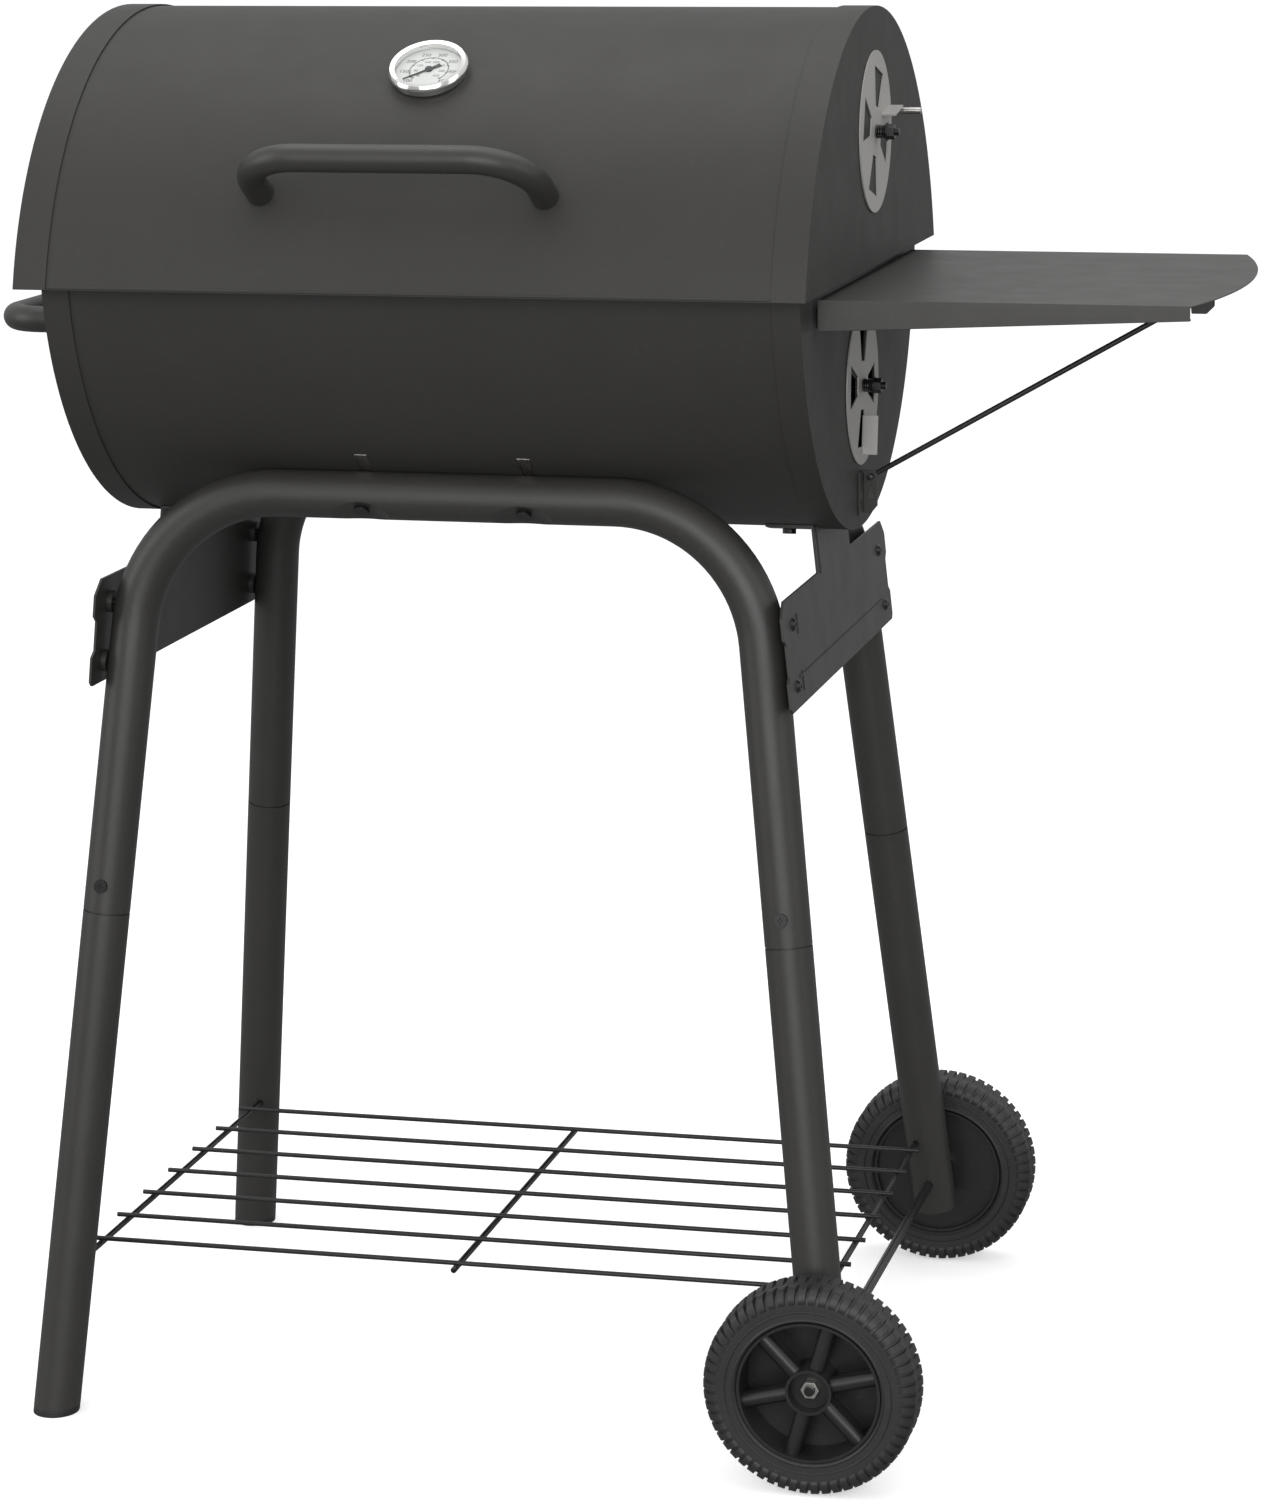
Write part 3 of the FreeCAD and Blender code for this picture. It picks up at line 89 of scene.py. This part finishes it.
def mix_colour(tree, factor, first, second):
    node = tree.nodes.new("ShaderNodeMix")
    node.data_type = "RGBA"
    tree.links.new(factor, node.inputs["Factor"])
    for socket, colour in ((node.inputs[6], first), (node.inputs[7], second)):
        if isinstance(colour, tuple):
            socket.default_value = (*colour, 1.0)
        else:
            tree.links.new(colour, socket)
    return node.outputs[2]


def bump(tree, shader, height, strength, distance, under=None):
    node = tree.nodes.new("ShaderNodeBump")
    node.inputs["Strength"].default_value = strength
    node.inputs["Distance"].default_value = distance
    tree.links.new(height, node.inputs["Height"])
    if under:
        tree.links.new(under, node.inputs["Normal"])
    tree.links.new(node.outputs["Normal"], shader.inputs["Normal"])
    return node.outputs["Normal"]


BLOTCH_SCALE = 9.0         # noise scales, in cycles per metre
SPECK_SCALE = 210.0
GLOSS_SCALE = 26.0
WAVE_SCALE = 7.0
DUST_TONE = 0.22


def finish_material(name, colour, vary=0.12, rough=(0.4, 0.5), metallic=0.0, grain=900.0,
                    grain_depth=0.00006, dust=0.05, stretch=(1, 1, 1), specular=0.5, wave=0.0):
    """Procedural finish: drifting colour, fine grain bump, uneven gloss and a little dust.

    grain_depth and wave are in metres; stretch scales the grain and the gloss along an axis.
    """
    mat, tree, shader = node_tree(name)
    dark = tuple(c * (1 - vary) for c in colour)
    light = tuple(min(1.0, c * (1 + vary)) for c in colour)
    drift = spread(tree, noise(tree, BLOTCH_SCALE, 3.0), 0.0, 1.0)
    base = mix_colour(tree, drift, dark, light)
    specks = spread(tree, noise(tree, SPECK_SCALE, 2.0), 0.0, dust, 0.60, 0.75)
    dusty = tuple(c * 0.6 + DUST_TONE for c in colour)
    base = mix_colour(tree, specks, base, dusty)
    tree.links.new(base, shader.inputs["Base Color"])
    gloss = spread(tree, noise(tree, GLOSS_SCALE, 5.0, 0.6, stretch), rough[0], rough[1])
    tree.links.new(gloss, shader.inputs["Roughness"])
    shader.inputs["Metallic"].default_value = metallic
    shader.inputs["Specular IOR Level"].default_value = specular
    under = None
    if wave:
        under = bump(tree, shader, noise(tree, WAVE_SCALE, 1.0), 1.0, wave)
    bump(tree, shader, noise(tree, grain, 2.0, 0.5, stretch), 1.0, grain_depth, under)
    return mat


def glass_material(name):
    mat, tree, shader = node_tree(name)
    shader.inputs["Base Color"].default_value = (0.97, 0.98, 0.98, 1)
    shader.inputs["Transmission Weight"].default_value = 1.0
    shader.inputs["IOR"].default_value = 1.1
    gloss = spread(tree, noise(tree, 60.0), 0.0, 0.03)
    tree.links.new(gloss, shader.inputs["Roughness"])
    bump(tree, shader, noise(tree, 120.0), 0.2, 0.00001)
    return mat


CHARCOAL = (0.0345, 0.0334, 0.0316)
TABLE_CHARCOAL = (0.040, 0.0385, 0.0365)
BLACK = (0.012, 0.012, 0.012)
WIRE_BLACK = (0.016, 0.016, 0.016)
RUBBER = (0.024, 0.024, 0.0235)
RIM_BLACK = (0.017, 0.017, 0.0165)
FOOT_BLACK = (0.015, 0.015, 0.015)
ZINC = (0.62, 0.61, 0.58)
DISC_GREY = (0.46, 0.452, 0.435)
CHROME = (0.90, 0.90, 0.89)
DIAL_WHITE = (0.74, 0.74, 0.72)
GRATE = (0.66, 0.66, 0.64)
COAL_GRATE = (0.18, 0.17, 0.165)

materials = {
    "barrel_paint": finish_material("barrel_paint", CHARCOAL, 0.05, (0.50, 0.56), dust=0.02,
                                    wave=0.0003, specular=0.35),
    "table_paint": finish_material("table_paint", TABLE_CHARCOAL, 0.06, (0.42, 0.50), dust=0.03),
    "frame_paint": finish_material("frame_paint", CHARCOAL, 0.07, (0.38, 0.45), dust=0.03),
    "black_steel": finish_material("black_steel", BLACK, 0.15, (0.22, 0.34), dust=0.04),
    "zinc": finish_material("zinc", ZINC, 0.10, (0.22, 0.36), 1.0, 500.0, 0.00004),
    "damper_steel": finish_material("damper_steel", DISC_GREY, 0.05, (0.45, 0.55), 0.25, 700.0,
                                    0.00003, stretch=(1, 1, 0.2)),
    "bezel_chrome": finish_material("bezel_chrome", CHROME, 0.03, (0.12, 0.22), 1.0, 300.0,
                                    0.00001),
    "dial_face": finish_material("dial_face", DIAL_WHITE, 0.03, (0.5, 0.6), grain_depth=0.00001),
    "needle_paint": finish_material("needle_paint", (0.02, 0.02, 0.02), 0.1, (0.3, 0.4)),
    "wire_steel": finish_material("wire_steel", WIRE_BLACK, 0.15, (0.30, 0.42)),
    "grate_chrome": finish_material("grate_chrome", GRATE, 0.10, (0.2, 0.35), 1.0),
    "coal_grate_steel": finish_material("coal_grate_steel", COAL_GRATE, 0.25, (0.5, 0.65), 0.8),
    "tyre_rubber": finish_material("tyre_rubber", RUBBER, 0.15, (0.42, 0.55), grain=1400.0,
                                   dust=0.05),
    "wheel_plastic": finish_material("wheel_plastic", RIM_BLACK, 0.12, (0.30, 0.40), dust=0.04),
    "foot_plastic": finish_material("foot_plastic", FOOT_BLACK, 0.12, (0.45, 0.6)),
    "lens_glass": glass_material("lens_glass"),
}
ink = finish_material("dial_ink", FOOT_BLACK, 0.1, (0.5, 0.6))


# ---------------------------------------------------------------- CAD nodes
BEVELS = {                 # edge rounding by material slot, in millimetres
    "black_steel": 0.4,
    "barrel_paint": 0.5,
    "table_paint": 0.8,
    "frame_paint": 0.6,
    "zinc": 0.5,
    "damper_steel": 0.35,
    "bezel_chrome": 0.4,
    "wheel_plastic": 1.0,
    "foot_plastic": 0.8,
    "needle_paint": 0.1,
}
WELD_DISTANCE = 0.02 * MM
FLAT_ANGLE = math.radians(0.4)
BEVEL_ANGLE = math.radians(42)
SHARP_ANGLE = math.radians(38)


def dress(node, bevel):
    """Weld, merge flat faces, round the edges a little and shade smoothly, as modifiers only."""
    weld = node.modifiers.new("weld", "WELD")
    weld.merge_threshold = WELD_DISTANCE
    flat = node.modifiers.new("flat", "DECIMATE")
    flat.decimate_type = "DISSOLVE"
    flat.angle_limit = FLAT_ANGLE
    if bevel:
        round_off = node.modifiers.new("round", "BEVEL")
        round_off.width = bevel * MM
        round_off.segments = 2
        round_off.limit_method = "ANGLE"
        round_off.angle_limit = BEVEL_ANGLE
    normals = node.modifiers.new("normals", "WEIGHTED_NORMAL")
    normals.keep_sharp = True
    for poly in node.data.polygons:
        poly.use_smooth = True


for node_name, node in nodes.items():
    part_slot = slot_of[node_name]
    node.data.materials.clear()
    node.data.materials.append(materials[part_slot])
    dress(node, BEVELS.get(part_slot, 0.0))


# ---------------------------------------------------------------- mesh helpers
def add_piece(name, bm, body, part_slot, material=None, smooth=True):
    mesh = bpy.data.meshes.new(name)
    bmesh.ops.recalc_face_normals(bm, faces=bm.faces)
    bm.to_mesh(mesh)
    bm.free()
    obj = bpy.data.objects.new(name, mesh)
    bpy.context.scene.collection.objects.link(obj)
    mesh.materials.append(material or materials[part_slot])
    for poly in mesh.polygons:
        poly.use_smooth = smooth
    if smooth:
        mesh.set_sharp_from_angle(angle=SHARP_ANGLE)
    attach(obj, body)
    return obj


def tube_along(bm, points, radius, sides=12):
    """A closed round tube through the points; up only needs to differ from the tube's direction."""
    rings = []
    up = Vector((0.0123, 0.934, 0.357))
    for i, point in enumerate(points):
        ahead = points[min(i + 1, len(points) - 1)]
        behind = points[max(i - 1, 0)]
        way = (ahead - behind).normalized()
        side = way.cross(up).normalized()
        up = side.cross(way).normalized()
        ring = []
        for k in range(sides):
            a = 2 * math.pi * k / sides
            ring.append(bm.verts.new(point + (side * math.cos(a) + up * math.sin(a)) * radius))
        rings.append(ring)
    for first, second in zip(rings, rings[1:]):
        for k in range(sides):
            bm.faces.new((first[k], first[(k + 1) % sides], second[(k + 1) % sides], second[k]))
    bm.faces.new(rings[0])
    bm.faces.new(list(reversed(rings[-1])))


# ---------------------------------------------------------------- wheels
LUGS = 58
LUG_HIGH = 2.6 * MM
LUG_SINK = 0.3 * MM        # a lug's edges start this far under the carcass
LUG_SKEW = 0.18            # slant of a lug, as a share of the pitch
TYRE_BORE_R = 57.4 * MM
TYRE_CLEAR = 0.05 * MM
TYRE_STEPS = 168
WALL_INSET = 1.5 * MM
SHOULDER_DROP = 11 * MM


def tyre_section(outer, bore, half):
    """Points (radius, side) of the carcass, and the index of the first that carries lugs."""
    r = outer - LUG_HIGH
    points = [(bore, -half + 4 * MM), (bore + 1.4 * MM, -half + 1.4 * MM),
              (bore + 2.6 * MM, -half + 0.5 * MM), (bore + 3.8 * MM, -half + 1.5 * MM),
              (bore + 8.4 * MM, -half + 1.6 * MM), (bore + 9.1 * MM, -half + 0.9 * MM),
              (bore + 9.8 * MM, -half + 1.6 * MM)]
    first_lug = len(points)
    points.append((r - SHOULDER_DROP, -half + WALL_INSET))
    for k in range(1, 8):
        a = math.radians(90.0 * k / 8)
        points.append((r - SHOULDER_DROP + 10.4 * MM * math.sin(a),
                       -half + WALL_INSET + 8 * MM * (1 - math.cos(a))))
    points.append((r - 0.4 * MM, -half + 11.5 * MM))
    points.append((r, 0.0))
    return points + [(p, -s) for p, s in reversed(points[:-1])], first_lug


def build_tyre(name, node_name):
    """Carcass swept round the axle, with two staggered rows of lugs."""
    low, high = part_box(node_name)
    centre = (low + high) / 2
    outer = (high.z - low.z) / 2 - TYRE_CLEAR
    half = (high.y - low.y) / 2 - TYRE_CLEAR
    section, first_lug = tyre_section(outer, TYRE_BORE_R, half)
    bm = bmesh.new()

    def place(radius, side, angle):
        across = radius * math.cos(angle)
        return Vector((centre.x + across, centre.y + side, centre.z + radius * math.sin(angle)))

    rings = []
    for i in range(TYRE_STEPS):
        a = 2 * math.pi * i / TYRE_STEPS
        rings.append([bm.verts.new(place(r, s, a)) for r, s in section])
    for i in range(TYRE_STEPS):
        first = rings[i]
        second = rings[(i + 1) % TYRE_STEPS]
        for k in range(len(section) - 1):
            bm.faces.new((first[k], first[k + 1], second[k + 1], second[k]))
        bm.faces.new((first[-1], first[0], second[0], second[-1]))
    pitch = 2 * math.pi / LUGS
    middle = len(section) // 2
    for row in (-1, 1):
        if row < 0:
            span = list(range(first_lug, middle + 1))
        else:
            span = list(range(len(section) - 1 - first_lug, middle - 1, -1))
        for i in range(LUGS):
            mid = pitch * (i + (0.5 if row > 0 else 0.0))
            add_lug(bm, place, section, span, mid, pitch, row)
    tyre = add_piece(name, bm, body_of(node_name), "tyre_rubber")
    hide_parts(node_name)


def add_lug(bm, place, section, span, mid, pitch, row):
    """One tread block that wraps from the middle of the tread over the shoulder."""
    across = [(-0.37, 0.0), (-0.32, 1.0), (0.32, 1.0), (0.37, 0.0)]
    grid = []
    count = len(span)
    for n, index in enumerate(span):
        r, s = section[index]
        before = section[max(index - 1, 0)]
        after = section[min(index + 1, len(section) - 1)]
        tangent = Vector((after[0] - before[0], after[1] - before[1])).normalized()
        normal = Vector((-tangent.y, tangent.x))
        if normal.dot(Vector((r - section[0][0], s * 2.0))) < 0:
            normal = -normal
        end_fade = 0.0 if n in (0, count - 1) else min(1.0, 0.35 + 0.1 * n)
        skew = LUG_SKEW * row * (n / (count - 1) - 0.5)
        line = []
        for offset, rise in across:
            height = LUG_HIGH * rise * end_fade - LUG_SINK * (1 - rise * end_fade)
            angle = mid + pitch * (offset + skew)
            line.append(bm.verts.new(place(r + normal.x * height, s + normal.y * height, angle)))
        grid.append(line)
    for first, second in zip(grid, grid[1:]):
        for k in range(3):
            bm.faces.new((first[k], first[k + 1], second[k + 1], second[k]))


def body_of(node_name):
    for body, members in record["behaviour"]["bodies"].items():
        if node_name in members:
            return body
    return None


# ---------------------------------------------------------------- springs
SPRING_WIRE_R = 0.75 * MM
SPRING_TURNS = 4.5


def build_spring(name, node_name, body):
    """Compression spring on a damper bolt."""
    low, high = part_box(node_name)
    centre = (low + high) / 2
    wire = SPRING_WIRE_R
    radius = (high.z - low.z) / 2 - wire
    count = int(SPRING_TURNS * 20)
    points = []
    for i in range(count + 1):
        t = i / count
        flat = min(1.0, max(0.0, (t - 0.12) / 0.76))
        x = low.x + wire + (high.x - low.x - 2 * wire) * flat
        a = 2 * math.pi * SPRING_TURNS * t
        points.append(Vector((x, centre.y + radius * math.cos(a), centre.z + radius * math.sin(a))))
    bm = bmesh.new()
    tube_along(bm, points, wire, 8)
    spring = add_piece(name, bm, body, slot_of[node_name])
    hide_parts(node_name)


# ---------------------------------------------------------------- thermometer
dial_out = Vector(joint["needle_turn"]["axis"]).normalized()
dial_up = Vector((0, dial_out.z, -dial_out.y))
dial_right = Vector((1, 0, 0))
PRINT_LIFT = 0.03 * MM
SCALE_START = 225.0        # the scale runs clockwise from here, in degrees
SCALE_SWEEP = 270.0
SCALE_IN, SCALE_OUT = 15.1 * MM, 15.6 * MM
TICK_OUT = 16.2 * MM
TICK_COUNT = 40
LONG_EVERY = 5
NUMBERS = 8


def dial_centre():
    """Middle of the dial's upper face."""
    low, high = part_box("thermometer_dial")
    middle = (low + high) / 2
    return middle + dial_out * 0.4 * MM


def on_dial(x, y, lift):
    return dial_centre() + dial_right * x + dial_up * y + dial_out * lift


def build_dial_print():
    """Scale ring, ticks and plain numbers of the thermometer."""
    bm = bmesh.new()

    def quad(points):
        bm.faces.new([bm.verts.new(on_dial(x, y, PRINT_LIFT)) for x, y in points])

    def arc_strip(r0, r1, a0, a1, steps):
        for i in range(steps):
            b0 = math.radians(a0 + (a1 - a0) * i / steps)
            b1 = math.radians(a0 + (a1 - a0) * (i + 1) / steps)
            quad([(r0 * math.cos(b0), r0 * math.sin(b0)), (r1 * math.cos(b0), r1 * math.sin(b0)),
                  (r1 * math.cos(b1), r1 * math.sin(b1)), (r0 * math.cos(b1), r0 * math.sin(b1))])

    arc_strip(SCALE_IN, SCALE_OUT, SCALE_START - SCALE_SWEEP, SCALE_START, 60)
    for i in range(TICK_COUNT + 1):
        a = SCALE_START - SCALE_SWEEP * i / TICK_COUNT
        tick_in, half_width = (14.0 * MM, 1.9) if i % LONG_EVERY == 0 else (14.8 * MM, 1.0)
        arc_strip(tick_in, TICK_OUT, a - half_width, a + half_width, 1)
    add_piece("thermometer_marks", bm, "lid", "dial_face", ink, smooth=False)
    for i in range(2 * NUMBERS):
        a = math.radians(SCALE_START - SCALE_SWEEP * (i % NUMBERS) / (NUMBERS - 1))
        outside = i < NUMBERS
        radius = (20.0 if outside else 10.4) * MM
        number = str(100 + 50 * i if outside else 40 * (i - 7))
        text = bpy.data.curves.new("number_" + number, "FONT")
        text.body = number
        text.size = (5.2 if outside else 3.6) * MM
        text.align_x = "CENTER"
        text.align_y = "CENTER"
        holder = bpy.data.objects.new("number_text", text)
        bpy.context.scene.collection.objects.link(holder)
        mesh = bpy.data.meshes.new_from_object(holder)
        bpy.data.objects.remove(holder)
        place = Matrix((dial_right, dial_up, dial_out)).transposed().to_4x4()
        place.translation = on_dial(radius * math.cos(a), radius * math.sin(a), PRINT_LIFT)
        mesh.transform(place)
        row = "_outer" if outside else "_inner"
        obj = bpy.data.objects.new("thermometer_number_" + number + row, mesh)
        bpy.context.scene.collection.objects.link(obj)
        mesh.materials.append(ink)
        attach(obj, "lid")


# ---------------------------------------------------------------- hems
HEM_R = 1.5 * MM
HEM_INSET = 27 * MM        # the end caps' bands cover this much at each end


def lid_hems():
    """Rolled hem along the lid's front and rear lower edges."""
    low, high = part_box("lid_shell")
    for name, y in (("lid_front_hem", low.y + 1.2 * MM), ("lid_rear_hem", high.y - 1.2 * MM)):
        bm = bmesh.new()
        x0 = low.x + HEM_INSET
        x1 = high.x - HEM_INSET
        count = 24
        points = [Vector((x0 + (x1 - x0) * i / count, y, low.z + HEM_R)) for i in range(count + 1)]
        tube_along(bm, points, HEM_R, 12)
        add_piece(name, bm, "lid", "barrel_paint")


build_tyre("front_tyre_tread", "front_wheel_tyre")
build_tyre("rear_tyre_tread", "rear_wheel_tyre")
build_spring("lid_damper_coil", "lid_damper_spring", "lid")
build_spring("firebox_damper_coil", "firebox_damper_spring", "stand")
build_dial_print()
lid_hems()


# ---------------------------------------------------------------- stage
def stage_material(name, colour):
    mat, tree, shader = node_tree(name)
    tone = spread(tree, noise(tree, 1.5), 0.0, 1.0)
    light = tuple(min(1.0, c * 1.01) for c in colour)
    tree.links.new(mix_colour(tree, tone, colour, light), shader.inputs["Base Color"])
    shader.inputs["Roughness"].default_value = 0.9
    shader.inputs["Specular IOR Level"].default_value = 0.1
    shader.inputs["Emission Color"].default_value = (1, 1, 1, 1)
    shader.inputs["Emission Strength"].default_value = 0.45
    return mat


def build_sweep():
    """Pale floor that curves up behind the grill."""
    bm = bmesh.new()
    profile = [(-7.0, 0.0), (5.0, 0.0)]
    for k in range(1, 13):
        a = math.radians(90.0 * k / 12)
        profile.append((5.0 + 2.0 * math.sin(a), 2.0 - 2.0 * math.cos(a)))
    profile.append((7.0, 9.0))
    last = None
    for y, z in profile:
        row = [bm.verts.new((x, y, z)) for x in (-12.0, 12.0)]
        if last:
            bm.faces.new((last[0], last[1], row[1], row[0]))
        last = row
    mesh = bpy.data.meshes.new("sweep")
    bm.to_mesh(mesh)
    bm.free()
    mesh.materials.append(stage_material("sweep_paper", (0.90, 0.90, 0.90)))
    for poly in mesh.polygons:
        poly.use_smooth = True
    sweep = bpy.data.objects.new("sweep", mesh)
    bpy.context.scene.collection.objects.link(sweep)
    sweep.visible_diffuse = False
    sweep.visible_glossy = False


def area_light(name, location, target, size, power):
    light = bpy.data.lights.new(name, "AREA")
    light.shape = "RECTANGLE"
    light.size = size[0]
    light.size_y = size[1]
    light.energy = power
    obj = bpy.data.objects.new(name, light)
    bpy.context.scene.collection.objects.link(obj)
    obj.location = location
    way = Vector(target) - Vector(location)
    obj.rotation_euler = way.to_track_quat("-Z", "Y").to_euler()


build_sweep()
MIDDLE = (0, 0, 0.8)
area_light("top_softbox", (0.0, 0.2, 3.4), MIDDLE, (3.2, 2.2), 30)
area_light("front_softbox", (0.7, -4.4, 1.5), (0, 0, 0.75), (3.8, 2.6), 95)
area_light("left_softbox", (-3.2, -1.8, 1.6), MIDDLE, (1.8, 2.4), 26)
area_light("right_softbox", (3.4, -1.2, 1.7), MIDDLE, (1.8, 2.4), 12)
world = bpy.data.worlds.new("studio")
world.use_nodes = True
sky = world.node_tree
direction = sky.nodes.new("ShaderNodeTexCoord")
split = sky.nodes.new("ShaderNodeSeparateXYZ")
sky.links.new(direction.outputs["Generated"], split.inputs["Vector"])
height = spread(sky, split.outputs["Z"], 0.22, 0.72, -0.35, 0.55)
sky.links.new(height, sky.nodes["Background"].inputs["Strength"])
sky.nodes["Background"].inputs["Color"].default_value = (1, 1, 1, 1)
bpy.context.scene.world = world
bpy.context.scene.view_settings.view_transform = "Standard"


# ---------------------------------------------------------------- camera
CAMERA_AT = (0.856875, -3.2984, 1.2842)     # metres; angles in degrees, lens in millimetres
YAW = 12.799
PITCH = -11.889
ROLL = -0.443
LENS = 100.1
SHIFT = (-0.086, -0.0333)


def add_camera():
    yaw = math.radians(YAW)
    pitch = math.radians(PITCH)
    roll = math.radians(ROLL)
    level = Vector((-math.sin(yaw), math.cos(yaw), 0))
    ahead = level * math.cos(pitch) + Vector((0, 0, math.sin(pitch)))
    right = Vector((math.cos(yaw), math.sin(yaw), 0))
    up = right.cross(ahead)
    turned_right = right * math.cos(roll) + up * math.sin(roll)
    turned_up = -right * math.sin(roll) + up * math.cos(roll)
    data = bpy.data.cameras.new("camera")
    data.lens = LENS
    data.sensor_width = 36.0
    data.shift_x = SHIFT[0]
    data.shift_y = SHIFT[1]
    camera = bpy.data.objects.new("camera", data)
    bpy.context.scene.collection.objects.link(camera)
    place = Matrix((turned_right, turned_up, -ahead)).transposed().to_4x4()
    place.translation = Vector(CAMERA_AT)
    camera.matrix_world = place
    bpy.context.scene.camera = camera


add_camera()
